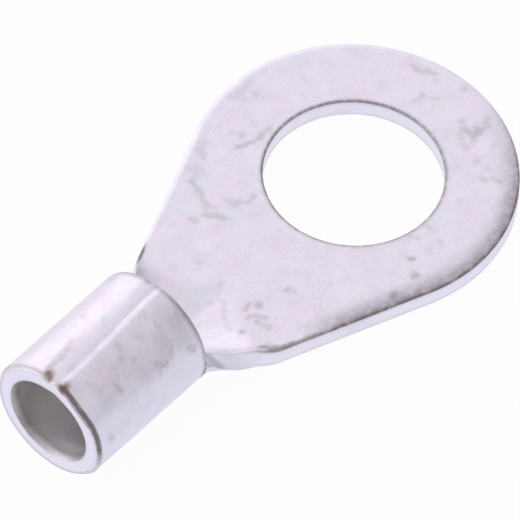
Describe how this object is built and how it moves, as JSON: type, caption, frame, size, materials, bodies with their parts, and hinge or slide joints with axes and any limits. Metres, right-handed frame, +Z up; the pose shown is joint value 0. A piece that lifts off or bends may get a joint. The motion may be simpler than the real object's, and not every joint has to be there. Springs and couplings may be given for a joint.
{
  "type": "ring terminal",
  "caption": "Bare crimp ring terminal: flat tapered ring tongue with a stud hole, rolled seamed barrel for a stripped wire.",
  "frame": {"origin": "centre of the stud hole on the underside of the tongue", "axes": "+Z up the stud, +X from the barrel towards the ring's far tip, the wire enters along +X"},
  "size_m": [0.029, 0.0154, 0.0062],
  "materials": {
    "tinned_copper": "matt pale tin plating over copper, lightly scuffed, bare copper specks at the seam"
  },
  "bodies": {
    "root": {"terminal": "tinned_copper"}
  },
  "joints": []
}
